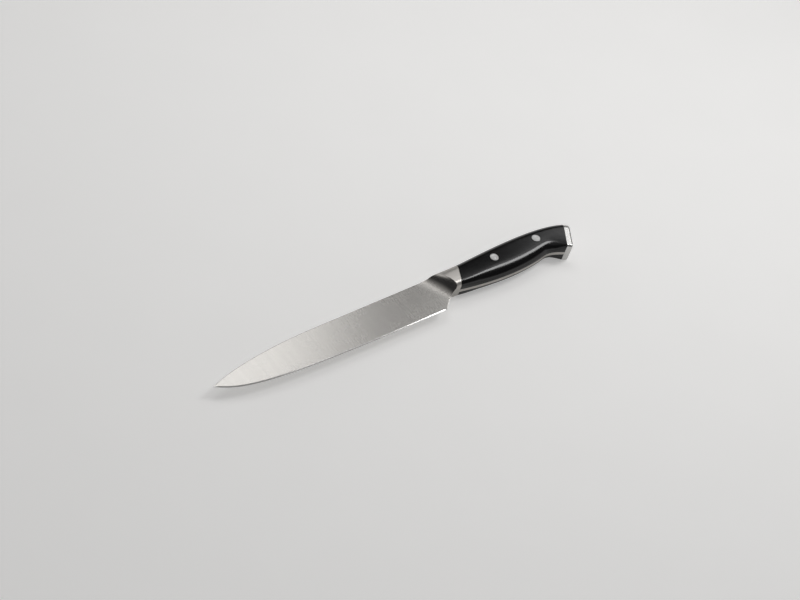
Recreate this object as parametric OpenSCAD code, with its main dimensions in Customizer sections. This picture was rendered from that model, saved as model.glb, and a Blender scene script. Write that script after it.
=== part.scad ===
// Carving knife: forged blade with bolster and full tang, riveted scales, steel end cap.
// The knife lies on its right side. +X runs from the tip to the butt, +Y from the edge to
// the spine, +Z up. The origin is under the middle of the bounding box.
// Lengths along the knife are measured from the tip, heights from the level of the tip.

/* [Blade] */
// Length from the tip to the heel
blade_l = 199.3; // [150:0.1:260]
// Height of the blade at the heel, from the spine to the edge
blade_h = 29.1; // [24:0.1:40]
// How far the tip lies below the spine
tip_drop = 11.9; // [8:0.1:14]
// Length of the spine's curve down to the tip
tip_curve_l = 96; // [50:1:120]
// Thickness of the spine at the heel
spine_t = 2.6; // [1.8:0.1:3.4]
// Thickness of the spine at the tip
tip_t = 1.2; // [0.8:0.1:1.6]
// Thickness of the blade just above the ground bevel
grind_t = 0.5; // [0.3:0.05:0.8]
// Height of the ground bevel along the edge
bevel_h = 1.3; // [0.8:0.1:2.5]
// Thickness left at the very edge
edge_t = 0.1; // [0.06:0.02:0.2]

/* [Bolster] */
// Length from the heel to the joint with the scales, at the level of the tip
bolster_l = 23.8; // [20:0.2:34]
// Length of the slanting edge behind the heel
choil_l = 14.5; // [12:0.5:15]
// Radius of the hollow that leads from the blade to the bolster's side
scoop_r = 13.2; // [10:0.2:18]
// Where the hollow starts behind the heel, at the level of the tip
scoop_gap = 3; // [2:0.2:5]
// Slant of the hollow, its lower end towards the butt
scoop_slant = 23; // [12:1:30]
// Slant of the joint with the scales, its lower end towards the tip
joint_slant = 26; // [10:0.5:32]

/* [Handle] */
// Length of the scales at the level of the tip
grip_l = 105.5; // [95:0.5:130]
// Thickness of the handle
handle_t = 17; // [15:0.5:22]
// Depth of the handle's underside at the joint
throat_d = 6.6; // [5:0.1:8]
// Depth that the belly's front half is drawn towards
belly_front_d = 10; // [8:0.2:14]
// Depth that the belly's rear half is drawn towards
belly_rear_d = 14.6; // [11:0.2:18]
// Depth of the waist in front of the butt
waist_d = 8.3; // [6:0.1:10]
// Depth of the butt's hook at the joint with the cap
hook_d = 12.3; // [10:0.1:16]
// Height that the top's front half is drawn towards
top_front_h = 13.2; // [12:0.1:15]
// Height that the top's rear half is drawn towards
top_rear_h = 18.2; // [15:0.1:21]
// Height of the handle's top at the joint with the cap
butt_top_h = 9; // [6:0.2:11]
// Rounding of the two upper edges
top_r = 6; // [3:0.25:6.5]
// Rounding of the two lower edges
bottom_r = 4.5; // [2:0.25:6]
// Thickness of the tang
tang_t = 2.6; // [1.8:0.1:3.6]

/* [End cap] */
// Thickness of the cap
cap_t = 4.8; // [4:0.2:8]
// Slant of the cap, its lower end towards the tip
cap_slant = 32; // [20:1:38]
// Rounding of the cap's outer edge
cap_r = 1.4; // [0.6:0.1:2.5]
// Length of the tang's tenon in the cap
tenon_l = 3; // [1.5:0.25:3.5]
// Width of the tenon
tenon_w = 10; // [6:0.5:12]
// Clearance round the tenon
tenon_gap = 0.1; // [0.05:0.01:0.3]

/* [Rivets] */
// Diameter of the heads
head_d = 6.9; // [6:0.1:9]
// Thickness of the heads
head_t = 2; // [1.2:0.1:3]
// Outer diameter of the tubular half
tube_d = 4.6; // [4:0.1:5.2]
// Diameter of the solid half's shank
shank_d = 3.2; // [2:0.1:3.6]
// Clearance round heads, tubes and shanks
rivet_gap = 0.05; // [0.02:0.01:0.15]
// Clearance at the ends of tubes and shanks
rivet_end_gap = 0.3; // [0.1:0.1:1]
// Distance of the front rivet from the joint, at the level of the tip
front_rivet_x = 36.4; // [24:0.2:45]
// Height of the front rivet
front_rivet_h = 3.6; // [0:0.1:6]
// Distance between the two rivets along the knife
rivet_pitch = 43.3; // [25:0.1:52]
// How much higher the rear rivet lies
rivet_rise = 1.1; // [-2:0.1:3]

/* [Hidden] */

// Steps along the blade, its heel, the hollow, the bolster's side and the grip
blade_steps = 30;
heel_steps = 4;
hollow_steps = 9;
side_steps = 4;
grip_steps = 44;
// Steps round the cap's outer edge and round one corner of the handle
cap_steps = 6;
corner_steps = 6;
// Height of the tip's polished point, and the most of the tip's height that the bevel takes
point_h = 0.4;
bevel_share = 0.35;
// How much of the bolster's underside the slanting edge behind the heel takes
choil_share = 0.57;
// How much of the grip's underside the belly takes
belly_share = 0.8;

spine_y = tip_drop;
heel_y = spine_y - blade_h;
half_t = handle_t / 2;

// Places on a cubic curve, and the height of such a curve above a place along the knife
function mix(a, b, t) = a + (b - a) * t;
function bezier(p, t) =
    pow(1 - t, 3) * p[0] + 3 * t * pow(1 - t, 2) * p[1] + 3 * t * t * (1 - t) * p[2] + pow(t, 3) * p[3];
function param_at(p, x, low = 0, high = 1, turn = 24) =
    turn == 0 ? (low + high) / 2
    : bezier(p, (low + high) / 2).x < x ? param_at(p, x, (low + high) / 2, high, turn - 1)
    : param_at(p, x, low, (low + high) / 2, turn - 1);
function height_at(p, x) = bezier(p, param_at(p, x)).y;

// The edge, the spine's curve, and the slanting edge behind the heel
edge_curve = [[0, 0], [0.1 * blade_l, 0.78 * heel_y], [0.23 * blade_l, heel_y], [blade_l, heel_y]];
spine_curve = [
    [0, 0], [0.19 * tip_curve_l, 0.56 * spine_y], [0.54 * tip_curve_l, spine_y], [tip_curve_l, spine_y]
];
choil_end = [blade_l + choil_l, -throat_d];
choil_curve = [
    [blade_l, heel_y], [blade_l + 0.34 * choil_l, mix(heel_y, -throat_d, 0.45)],
    [blade_l + 0.67 * choil_l, mix(heel_y, -throat_d, 0.87)], choil_end
];
function spine_at(x) = x < tip_curve_l ? height_at(spine_curve, x) : spine_y;
function edge_at(x) = height_at(edge_curve, x);

// Half the blade's thickness at a place: it tapers to the tip and towards the edge
function spine_half(x) = mix(tip_t, spine_t, min(1, x / blade_l)) / 2;
function face_half(p) =
    mix(grind_t / 2, spine_half(p.x), min(1, max(0, (p.y - heel_y) / blade_h)));

// The joints of the grip, its top line and its underside
joint_x = blade_l + bolster_l;
joint_k = tan(joint_slant);
joint_top = [joint_x + joint_k * spine_y, spine_y];
joint_low = [joint_x - joint_k * throat_d, -throat_d];
cap_x = joint_x + grip_l;
cap_k = tan(cap_slant);
cap_top = [cap_x + cap_k * butt_top_h, butt_top_h];
cap_low = [cap_x - cap_k * hook_d, -hook_d];
top_curve = [
    joint_top, [mix(joint_top.x, cap_top.x, 0.25), top_front_h],
    [mix(joint_top.x, cap_top.x, 0.77), top_rear_h], cap_top
];
waist = [mix(joint_low.x, cap_low.x, 0.824), -waist_d];
belly_curve = [
    joint_low, [mix(joint_low.x, waist.x, 0.22), -belly_front_d],
    [mix(joint_low.x, waist.x, 0.635), -belly_rear_d], waist
];
hook_curve = [
    waist, waist + 0.2 * (waist - belly_curve[2]),
    [mix(waist.x, cap_low.x, 0.65), -mix(waist_d, hook_d, 0.3)], cap_low
];
function top_at(t) = bezier(top_curve, t);
function low_at(t) =
    t < belly_share ? bezier(belly_curve, t / belly_share)
    : bezier(hook_curve, (t - belly_share) / (1 - belly_share));

// The hollow starts on a slanting line across the blade, from the spine to the choil
scoop_x = blade_l + scoop_gap;
scoop_k = tan(scoop_slant);
scoop_top = [scoop_x - scoop_k * spine_y, spine_y];
function past_scoop(p) = (p.x - scoop_x) * cos(scoop_slant) + p.y * sin(scoop_slant);
function scoop_param(low = 0, high = 1, turn = 24) =
    turn == 0 ? (low + high) / 2
    : past_scoop(bezier(choil_curve, (low + high) / 2)) < 0
        ? scoop_param((low + high) / 2, high, turn - 1)
    : scoop_param(low, (low + high) / 2, turn - 1);
scoop_start = scoop_param();

// The hollow's height above the middle plane: round, and flush with the blade where it starts
function hollow(p) =
    let (u = min(scoop_r, max(0, past_scoop(p))))
    face_half([blade_l, p.y]) + scoop_r - sqrt(scoop_r * scoop_r - u * u);

// One side of the handle's section, from the top down, for a section of some height.
// Each point is [distance down from the top, height above the middle plane].
function side_section(height, grow = 0) =
    let (rt = top_r + grow, rb = bottom_r + grow, side = half_t + grow) [
        for (i = [0 : corner_steps]) let (a = 90 * i / corner_steps)
            [-grow + rt - rt * cos(a), side - rt + rt * sin(a)],
        for (i = [corner_steps : -1 : 0]) let (a = 90 * i / corner_steps)
            [height + grow - rb + rb * cos(a), side - rb + rb * sin(a)]
    ];
side_points = 2 * corner_steps + 2;

// Where a point of a section lies between a top and a low point of the outline
function between(top, low, d) = top + (low - top) * d / norm(low - top);
function raised(p, z) = [p.x, p.y, z];

// A whole ring from its left half: down the left side and up the right side
function both_sides(half) =
    concat(half, [for (i = [len(half) - 1 : -1 : 0]) [half[i].x, half[i].y, -half[i].z]]);

// The blade's rings lean a little, to meet the hollow's slanting line, and crowd at the tip
heel_ring_gap = 5;
ring_crowding = 1.3;
heel_top_x = scoop_top.x - heel_ring_gap;
function blade_ring(x) =
    let (
        tx = x * heel_top_x / blade_l,
        top = [tx, max(spine_at(tx), point_h / 2)],
        low = [x, min(edge_at(x), -point_h / 2)],
        height = norm(low - top),
        face = height - min(bevel_h, bevel_share * height)
    ) both_sides([
        for (i = [0 : side_points - 2])
            let (p = between(top, low, face * i / (side_points - 2))) raised(p, face_half(p)),
        raised(low, edge_t / 2)
    ]);

// Behind the heel the blade has no bevel, and its points move to where the section needs them
function heel_ring(t) =
    let (
        top = mix([heel_top_x, spine_y], scoop_top, t),
        low = bezier(choil_curve, scoop_start * t),
        height = norm(low - top),
        section = side_section(height)
    ) both_sides([
        for (i = [0 : side_points - 1])
            let (p = between(top, low, mix(height * i / (side_points - 1), section[i][0], t)))
                raised(p, face_half(p))
    ]);

// A point of the bolster's side: t runs from the hollow's start to the joint
function bolster_point(i, t) =
    let (
        top = mix(scoop_top, joint_top, t),
        low = t < choil_share
            ? bezier(choil_curve, mix(scoop_start, 1, t / choil_share))
            : mix(choil_end, joint_low, (t - choil_share) / (1 - choil_share))
    ) between(top, low, side_section(norm(low - top))[i][0]);

// Where the hollow reaches the bolster's side
function crease(i, z, low = 0, high = 1, turn = 20) =
    turn == 0 ? (low + high) / 2
    : hollow(bolster_point(i, (low + high) / 2)) < z ? crease(i, z, (low + high) / 2, high, turn - 1)
    : crease(i, z, low, (low + high) / 2, turn - 1);
side_heights = [for (p = side_section(2 * (top_r + bottom_r))) p[1]];
creases = [for (i = [0 : side_points - 1]) crease(i, side_heights[i])];
function hollow_ring(s) = both_sides([
    for (i = [0 : side_points - 1])
        let (p = bolster_point(i, creases[i] * s)) raised(p, min(hollow(p), side_heights[i]))
]);
function side_ring(s) = both_sides([
    for (i = [0 : side_points - 1]) raised(bolster_point(i, mix(creases[i], 1, s)), side_heights[i])
]);

// The cap lies along its own normal
cap_out = [cos(cap_slant), -sin(cap_slant)];
cap_down = [-sin(cap_slant), -cos(cap_slant)];
tenon_share = 0.45;
tenon_mid = mix(cap_top, cap_low, tenon_share);
// How far in front of the cap its pocket is cut, so that it opens cleanly
pocket_lead = 1;
function tenon_corners(w, l, start) = [
    tenon_mid + cap_down * w / 2 + cap_out * start, tenon_mid + cap_down * w / 2 + cap_out * l,
    tenon_mid - cap_down * w / 2 + cap_out * l, tenon_mid - cap_down * w / 2 + cap_out * start
];

// Outline of the tang: its root in the bolster, the grip, and the tenon in the cap
root_l = 6;
root_inset = 2.5;
tang_outline = concat(
    [joint_top - [root_l, root_inset], joint_low - [root_l, -root_inset]],
    [for (i = [0 : grip_steps]) low_at(i / grip_steps)],
    tenon_corners(tenon_w, tenon_l, 0),
    [for (i = [grip_steps : -1 : 0]) top_at(i / grip_steps)]
);

// The whole knife's box, to put the origin under its middle
top_heights = [for (i = [0 : grip_steps]) top_at(i / grip_steps).y];
x_max = cap_top.x + cap_out.x * (cap_t - cap_r) + cap_r * (1 - sin(cap_slant));
y_max = max(spine_y, max(top_heights));
y_min = min(heel_y, cap_low.y + cap_out.y * (cap_t - cap_r));
middle = [-x_max / 2, -(y_max + y_min) / 2, half_t];

// A closed skin over rings of points that follow each other along +X
module skin(rings) {
    n = len(rings[0]);
    m = len(rings);
    sides = [
        for (i = [0 : m - 2]) for (j = [0 : n - 1]) let (a = i * n + j, b = i * n + (j + 1) % n)
            each [[a, b + n, b], [a, a + n, b + n]]
    ];
    ends = [[for (j = [0 : n - 1]) j], [for (j = [n - 1 : -1 : 0]) (m - 1) * n + j]];
    polyhedron(points = [for (ring = rings) each ring], faces = concat(sides, ends));
}

// The forged blade with its bolster, up to the joint
module forging() {
    skin(concat(
        [for (i = [0 : blade_steps]) blade_ring(blade_l * pow(i / blade_steps, ring_crowding))],
        [for (i = [1 : heel_steps]) heel_ring(i / heel_steps)],
        [for (i = [1 : hollow_steps]) hollow_ring(i / hollow_steps)],
        [for (i = [1 : side_steps]) side_ring(i / side_steps)]
    ));
}

module at_rivet(number) {
    translate([
        joint_x + front_rivet_x + number * rivet_pitch, front_rivet_h + number * rivet_rise, 0
    ]) children();
}

module at_rivets() {
    for (number = [0, 1]) at_rivet(number) children();
}

module tang() {
    difference() {
        translate([0, 0, -tang_t / 2]) linear_extrude(height = tang_t) polygon(tang_outline);
        at_rivets() cylinder(h = 2 * tang_t, d = tube_d + 2 * rivet_gap, center = true, $fn = 48);
    }
}

// One half of the handle's section with a flat inner face against the tang
function scale_ring(top, low) =
    let (height = norm(low - top)) concat(
        [raised(top, tang_t / 2)],
        [for (p = side_section(height)) raised(between(top, low, p[0]), p[1])],
        [raised(low, tang_t / 2)]
    );

module scale() {
    difference() {
        skin([for (i = [0 : grip_steps]) scale_ring(top_at(i / grip_steps), low_at(i / grip_steps))]);
        at_rivets() {
            cylinder(h = handle_t, d = tube_d + 2 * rivet_gap, $fn = 48);
            translate([0, 0, half_t - head_t])
                cylinder(h = 2 * head_t, d = head_d + 2 * rivet_gap, $fn = 64);
        }
    }
}

// A shank or tube starts in the middle of its own head and stops short of the other head
shank_root = head_t / 2;
shank_l = handle_t - head_t - shank_root - rivet_end_gap;

// Solid half of a rivet: its head in the left scale, its shank in the tubular half
module rivet_male(number) {
    at_rivet(number) {
        translate([0, 0, half_t - head_t]) cylinder(h = head_t, d = head_d, $fn = 64);
        translate([0, 0, half_t - shank_root - shank_l]) cylinder(h = shank_l, d = shank_d, $fn = 48);
    }
}

// Tubular half of a rivet: its head in the right scale, its tube through the tang
module rivet_female(number) {
    at_rivet(number) difference() {
        union() {
            translate([0, 0, -half_t]) cylinder(h = head_t, d = head_d, $fn = 64);
            translate([0, 0, -half_t + shank_root]) cylinder(h = shank_l, d = tube_d, $fn = 48);
        }
        translate([0, 0, -half_t + head_t])
            cylinder(h = handle_t, d = shank_d + 2 * rivet_gap, $fn = 48);
    }
}

module blade() {
    color("silver") translate(middle) {
        forging();
        tang();
    }
}

module left_scale() {
    color("dimgray") translate(middle) scale();
}

module right_scale() {
    color("dimgray") translate(middle) mirror([0, 0, 1]) scale();
}

module front_rivet_male() {
    color("gainsboro") translate(middle) rivet_male(0);
}

module front_rivet_female() {
    color("gainsboro") translate(middle) rivet_female(0);
}

module rear_rivet_male() {
    color("gainsboro") translate(middle) rivet_male(1);
}

module rear_rivet_female() {
    color("gainsboro") translate(middle) rivet_female(1);
}

// One section of the cap: rings lie further out, and draw in round its outer edge
function cap_ring(out, inset) =
    let (
        top = cap_top + cap_out * out, low = cap_low + cap_out * out,
        section = side_section(norm(low - top), -inset)
    ) both_sides([for (p = section) raised(between(top, low, p[0]), p[1])]);

module end_cap() {
    color("silver") translate(middle) difference() {
        skin(concat(
            [cap_ring(0, 0)],
            [for (i = [0 : cap_steps]) let (a = 90 * i / cap_steps)
                cap_ring(cap_t - cap_r + cap_r * sin(a), cap_r - cap_r * cos(a))]
        ));
        translate([0, 0, -tang_t / 2 - tenon_gap])
            linear_extrude(height = tang_t + 2 * tenon_gap)
                polygon(tenon_corners(tenon_w + 2 * tenon_gap, tenon_l + tenon_gap, -pocket_lead));
    }
}

blade();
left_scale();
right_scale();
front_rivet_male();
front_rivet_female();
rear_rivet_male();
rear_rivet_female();
end_cap();
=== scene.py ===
"""Looks of the carving knife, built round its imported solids.

Sizes are in millimetres, as on a drawing: lengths from the tip, heights from the level of the tip,
depths from the blade's middle plane. in_frame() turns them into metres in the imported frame.
"""
import math

import bmesh
import bpy
import numpy as np
from mathutils import Matrix, Vector


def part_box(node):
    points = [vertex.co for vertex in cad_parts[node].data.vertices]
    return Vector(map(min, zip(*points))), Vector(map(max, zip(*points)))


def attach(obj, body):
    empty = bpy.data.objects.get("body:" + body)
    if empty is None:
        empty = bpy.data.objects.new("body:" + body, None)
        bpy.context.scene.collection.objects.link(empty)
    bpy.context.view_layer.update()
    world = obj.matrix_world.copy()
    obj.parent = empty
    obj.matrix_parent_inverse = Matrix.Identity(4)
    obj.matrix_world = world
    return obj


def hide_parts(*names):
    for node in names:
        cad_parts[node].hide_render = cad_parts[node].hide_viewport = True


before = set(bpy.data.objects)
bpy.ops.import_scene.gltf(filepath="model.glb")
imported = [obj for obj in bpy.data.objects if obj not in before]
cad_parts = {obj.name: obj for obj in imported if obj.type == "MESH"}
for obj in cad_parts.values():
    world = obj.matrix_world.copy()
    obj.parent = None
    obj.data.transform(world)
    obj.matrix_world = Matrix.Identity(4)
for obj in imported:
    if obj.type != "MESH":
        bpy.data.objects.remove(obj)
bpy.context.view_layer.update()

MM = 0.001


def point(x, y):
    """A place on the drawing, in millimetres."""
    return np.array((x, y), float)


# Blade
BLADE_L = 199.3
BLADE_H = 29.1
TIP_DROP = 11.9
TIP_CURVE_L = 96
SPINE_T = 2.6
TIP_T = 1.2
GRIND_T = 0.4
BEVEL_H = 1.15
EDGE_T = 0.1
POINT_H = 0.4
BEVEL_SHARE = 0.35
SPINE_R = 0.35
HEEL_R = 0.2
# The point is ground thinner over its last stretch
POINT_TAPER_L = 9
POINT_TAPER = 0.35

# Bolster
BOLSTER_L = 23.8
CHOIL_L = 14.5
SCOOP_R = 13.2
SCOOP_GAP = 3
SCOOP_SLANT = math.radians(23)
JOINT_SLANT = math.radians(26)
CHOIL_SHARE = 0.57
HEEL_RING_GAP = 13.5
CREASE_SOFTNESS = 0.14
# The side's finish fades in over this depth below the hollow's surface, past its start
SIDE_FADE = 0.4
SIDE_START = 2
# The grinding fades into the blade over this much on either side of the hollow's start
LEAD_TOP_L = 12
LEAD_LOW_L = 5
# The hollow is ground by a small wheel, so that its upper end curves back towards the blade
WHEEL_R = 21.7
WHEEL_MIDDLE = -4.5

# Handle
GRIP_L = 105.5
HANDLE_T = 17
THROAT_D = 6.6
BELLY_FRONT_D = 10
BELLY_REAR_D = 14.6
WAIST_D = 8.3
HOOK_D = 12.3
TOP_FRONT_H = 13.2
TOP_REAR_H = 18.2
BUTT_TOP_H = 9
TOP_R = 6
BOTTOM_R = 4.5
# Between the bolster and the cap the scales are rounder underneath, in an oval way
PALM_R = 9.5
PALM_SWELL = 1.3
PALM_DEPTH_R = 7.0
PALM_START = 0.42
PALM_END = 0.74
PALM_FADE = 1.5
CAP_BOTTOM_R = 2.2
TANG_T = 2.6
TANG_ROOT_L = 6
TANG_ROOT_INSET = 2.5
BELLY_SHARE = 0.8
# The sides fall away a little towards the underside, below their flat
CROWN_H = 15
CROWN_DROP = 1.0
# Broken edges where scales, bolster, tang and cap meet
SEAM_R = 0.14
# The bolster's end is drawn in from this share of its last ring gap, round about half its height
SEAM_START = 0.12
SEAM_HALF_H = 9
# The scales' ends are drawn in over this share of their length
SCALE_SEAM = 0.0013

# End cap
CAP_T = 4.8
CAP_SLANT = math.radians(32)
CAP_R = 1.4
CAP_SIDE_R = 0.45
TENON_L = 3
TENON_W = 10
TENON_GAP = 0.1
TENON_SHARE = 0.45

# Rivets
HEAD_D = 6.9
HEAD_T = 2
TUBE_D = 4.6
SHANK_D = 3.2
RIVET_GAP = 0.05
RIVET_END_GAP = 0.3
RIVET_EDGE = 0.25
# The pocket's broken rim in the scale, and how far its cutter stands out of the scale's side
POCKET_EDGE = 0.1
POCKET_PROUD = 0.5
# A shallow ring turned in the middle of each head
RING_D = 2.8
RING_W = 0.4
RING_DEPTH = 0.09
FRONT_RIVET = point(36.4, 3.6)
RIVET_STEP = point(43.3, 1.1)

# Places that follow from the sizes
SPINE_Y = TIP_DROP
HEEL_Y = SPINE_Y - BLADE_H
HALF_T = HANDLE_T / 2
JOINT_X = BLADE_L + BOLSTER_L
JOINT_K = math.tan(JOINT_SLANT)
JOINT_TOP = point(JOINT_X + JOINT_K * SPINE_Y, SPINE_Y)
JOINT_LOW = point(JOINT_X - JOINT_K * THROAT_D, -THROAT_D)
CAP_X = JOINT_X + GRIP_L
CAP_K = math.tan(CAP_SLANT)
CAP_TOP = point(CAP_X + CAP_K * BUTT_TOP_H, BUTT_TOP_H)
CAP_LOW = point(CAP_X - CAP_K * HOOK_D, -HOOK_D)
CAP_OUT = point(math.cos(CAP_SLANT), -math.sin(CAP_SLANT))
CAP_DOWN = point(-math.sin(CAP_SLANT), -math.cos(CAP_SLANT))
SCOOP_X = BLADE_L + SCOOP_GAP
SCOOP_TOP = point(SCOOP_X - math.tan(SCOOP_SLANT) * SPINE_Y, SPINE_Y)
HEEL_TOP_X = SCOOP_TOP[0] - HEEL_RING_GAP
CHOIL_END = point(BLADE_L + CHOIL_L, -THROAT_D)


def mix(a, b, t):
    """What lies between a and b, by a share that is 0 at a and 1 at b."""
    return a + (b - a) * t


# Outlines, each a cubic curve with its four points
EDGE_CURVE = (
    point(0, 0), point(0.1 * BLADE_L, 0.78 * HEEL_Y), point(0.23 * BLADE_L, HEEL_Y),
    point(BLADE_L, HEEL_Y),
)
SPINE_CURVE = (
    point(0, 0), point(0.19 * TIP_CURVE_L, 0.56 * SPINE_Y), point(0.54 * TIP_CURVE_L, SPINE_Y),
    point(TIP_CURVE_L, SPINE_Y),
)
CHOIL_CURVE = (
    point(BLADE_L, HEEL_Y), point(BLADE_L + 0.34 * CHOIL_L, mix(HEEL_Y, -THROAT_D, 0.45)),
    point(BLADE_L + 0.67 * CHOIL_L, mix(HEEL_Y, -THROAT_D, 0.87)), CHOIL_END,
)
TOP_CURVE = (
    JOINT_TOP, point(mix(JOINT_TOP[0], CAP_TOP[0], 0.25), TOP_FRONT_H),
    point(mix(JOINT_TOP[0], CAP_TOP[0], 0.77), TOP_REAR_H), CAP_TOP,
)
WAIST = point(mix(JOINT_LOW[0], CAP_LOW[0], 0.824), -WAIST_D)
BELLY_CURVE = (
    JOINT_LOW, point(mix(JOINT_LOW[0], WAIST[0], 0.22), -BELLY_FRONT_D),
    point(mix(JOINT_LOW[0], WAIST[0], 0.635), -BELLY_REAR_D), WAIST,
)
HOOK_CURVE = (
    WAIST, WAIST + 0.2 * (WAIST - BELLY_CURVE[2]),
    point(mix(WAIST[0], CAP_LOW[0], 0.65), -mix(WAIST_D, HOOK_D, 0.3)), CAP_LOW,
)

# How finely the meshes follow those shapes
BLADE_RINGS = 180
HEEL_RINGS = 26
HOLLOW_RINGS = 44
BOLSTER_RINGS = 26
SCALE_ROWS = 140
# Rings at each end of a scale that draw it in and close it
END_ROWS = 2
TANG_STEPS = 140
ARC_STEPS = 15
FLAT_STEPS = 12
SPINE_STEPS = 5
CAP_ARC_STEPS = 10
WALL_POINTS = 5
TURN_STEPS = 96
# Points down the bevel, and one just above it, as shares of its height
EDGE_STEPS = (0.05, 0.35, 0.65, 0.95, 1.0)
FACE_SUPPORT = 0.05
# Powers by which rings crowd towards the point, the heel and the hollow's crease
POINT_CROWDING = 1.3
HEEL_CROWDING = 1.5
CREASE_CROWDING = 1.6
# Samples and halvings that find places on the curves
CURVE_SAMPLES = 2001
CHOIL_SAMPLES = 4001
CREASE_HALVINGS = 40
# Points closer than this, in metres, are one
MERGE_DISTANCE = 1e-7
# Shading breaks at sharper edges than this, and leans this much on the larger faces
SHARP_ANGLE = math.radians(38)
FLAT_WEIGHT = 60

# Points round a scale's section, by stretch: from the tang's top edge over the side and back
SECTION_STEPS = {
    "top seam": 3, "top": 3, "top rounding": ARC_STEPS, "side": FLAT_STEPS,
    "low rounding": ARC_STEPS, "underside": 3, "low seam": 3, "inner face": 6,
}

# Tones of each finish, in linear light
SATIN_DARK = (0.53, 0.515, 0.492)
SATIN_LIGHT = (0.68, 0.66, 0.632)
SATIN_CLOUD = (0.58, 0.57, 0.55)
# Polished steel of the hollow and bolster, toned darker than the satin: partly its own polish, partly
# painted shade for the hollow
POLISHED_AND_SHADE = (0.555, 0.535, 0.507)
BEVEL_TONE = (0.66, 0.655, 0.64)
SCALE_DARK = (0.0045, 0.0045, 0.005)
SCALE_LIGHT = (0.008, 0.008, 0.0085)
SCALE_SCUFF = (0.04, 0.04, 0.042)
RIVET_DARK = (0.61, 0.61, 0.605)
RIVET_LIGHT = (0.76, 0.76, 0.75)
CAP_DARK = (0.68, 0.675, 0.66)
CAP_LIGHT = (0.78, 0.775, 0.76)
FLOOR_DARK = (0.78, 0.775, 0.765)
FLOOR_LIGHT = (0.82, 0.815, 0.805)

# Roughness of each finish before its patterns
SATIN_ROUGH = 0.27
POLISHED_ROUGH = 0.27
BEVEL_ROUGH = 0.12
SCALE_ROUGH = 0.17
RIVET_ROUGH = 0.34
CAP_ROUGH = 0.18
FLOOR_ROUGH = 0.7

# Depth of each finish's grain, in millimetres
SATIN_GRAIN = 0.0006
SCALE_GRAIN = 0.004
RIVET_GRAIN = 0.004
CAP_GRAIN = 0.0003

# Between these distances past the hollow's start the polish sets in, with its darker tone that is partly
# painted shade, and then the hollow's depth
POLISH_FADE = (-3, 4)
DEEP_FADE = (4, 11)
# The bevel's finish fades this far to either side of its top and of the heel
BEVEL_FADE = 0.06
HEEL_FADE = 0.1
# Turning marks on the rivets, in radians to the millimetre
TURNING = 21.0


def in_frame(places):
    """Places in millimetres on the drawing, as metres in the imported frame."""
    low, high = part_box("blade")
    shift = (low.x, low.y - HEEL_Y * MM, (low.z + high.z) / 2)
    return np.asarray(places, float) * MM + shift


def cubic(curve, t):
    """Places on a cubic curve, one for each t."""
    t = np.asarray(t, float)[..., None]
    a, b, c, d = curve
    return (1 - t) ** 3 * a + 3 * t * (1 - t) ** 2 * b + 3 * t * t * (1 - t) * c + t ** 3 * d


def height_at(curve, x):
    """Height of a curve over places along the knife."""
    places = cubic(curve, np.linspace(0, 1, CURVE_SAMPLES))
    return np.interp(x, places[:, 0], places[:, 1])


def dip(distance, radius):
    """How far a rounding of some radius takes a surface down, at a distance from its edge."""
    inside = np.clip(radius - distance, 0, radius)
    return radius - np.sqrt(radius ** 2 - inside ** 2)


def soft_min(a, b, width):
    """The lower of a and b, with the crease between them softened over some width."""
    share = np.clip(0.5 + 0.5 * (b - a) / width, 0, 1)
    return mix(b, a, share) - width * share * (1 - share)


def face_half(places):
    """Half the blade's thickness, which tapers to the tip and towards the edge."""
    x, y = places[..., 0], places[..., 1]
    spine_half = mix(TIP_T, SPINE_T, np.clip(x / BLADE_L, 0, 1)) / 2
    thinned = mix(POINT_TAPER, 1, np.sin(np.clip(x / POINT_TAPER_L, 0, 1) * math.pi / 2))
    return thinned * mix(GRIND_T / 2, spine_half, np.clip((y - HEEL_Y) / BLADE_H, 0, 1))


def past_scoop(places):
    """Distances past the slanted line where the hollow starts."""
    return (places[..., 0] - SCOOP_X) * math.cos(SCOOP_SLANT) + places[..., 1] * math.sin(SCOOP_SLANT)


def eased(distance, lead):
    """The distance past a line, with a soft start that begins some lead before it."""
    soft = np.clip(distance + lead, 0, None) ** 2 / (4 * lead)
    return np.where(distance < lead, soft, distance)


def hollow(places):
    """Height of the round hollow that leads from the blade to the bolster's side."""
    along = places[..., 1] * math.cos(SCOOP_SLANT) - (places[..., 0] - SCOOP_X) * math.sin(SCOOP_SLANT)
    curve = dip(WHEEL_R - np.abs(along - WHEEL_MIDDLE), WHEEL_R)
    past = past_scoop(places)
    lead = mix(LEAD_LOW_L, LEAD_TOP_L, np.clip((places[..., 1] - HEEL_Y) / BLADE_H, 0, 1))
    u = np.clip(eased(past, lead) + curve * np.clip(past / SCOOP_R, 0, 1) ** 3, 0, SCOOP_R)
    return face_half(places) + SCOOP_R - np.sqrt(SCOOP_R ** 2 - u ** 2)


def side_height(down, height, bottom_r=BOTTOM_R):
    """Height of the handle's side at a distance down a section of some height."""
    return HALF_T - dip(down, TOP_R) - dip(height - down, bottom_r)


def crowned(depth, down, height):
    """The side with its gentle fall towards the underside, none of it at the tang."""
    fall = CROWN_DROP * np.clip((down - height + CROWN_H) / CROWN_H, 0, 1) ** 2
    return depth - fall * np.clip((depth - TANG_T / 2) / (HALF_T - TANG_T / 2), 0, 1)


def arc_spread(radius):
    """Distances from an edge that step evenly round its rounding."""
    return radius * (1 - np.cos(np.linspace(0, math.pi / 2, ARC_STEPS)))


def section_spread(height, bottom_r=BOTTOM_R):
    """Distances down each section, close together round the two corners."""
    height = np.asarray(height, float)[:, None]
    flat = np.linspace(0, 1, FLAT_STEPS + 2)[1:-1]
    return np.hstack((
        arc_spread(TOP_R) + 0 * height,
        mix(TOP_R, height - bottom_r, flat),
        height - arc_spread(bottom_r)[::-1],
    ))


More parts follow.
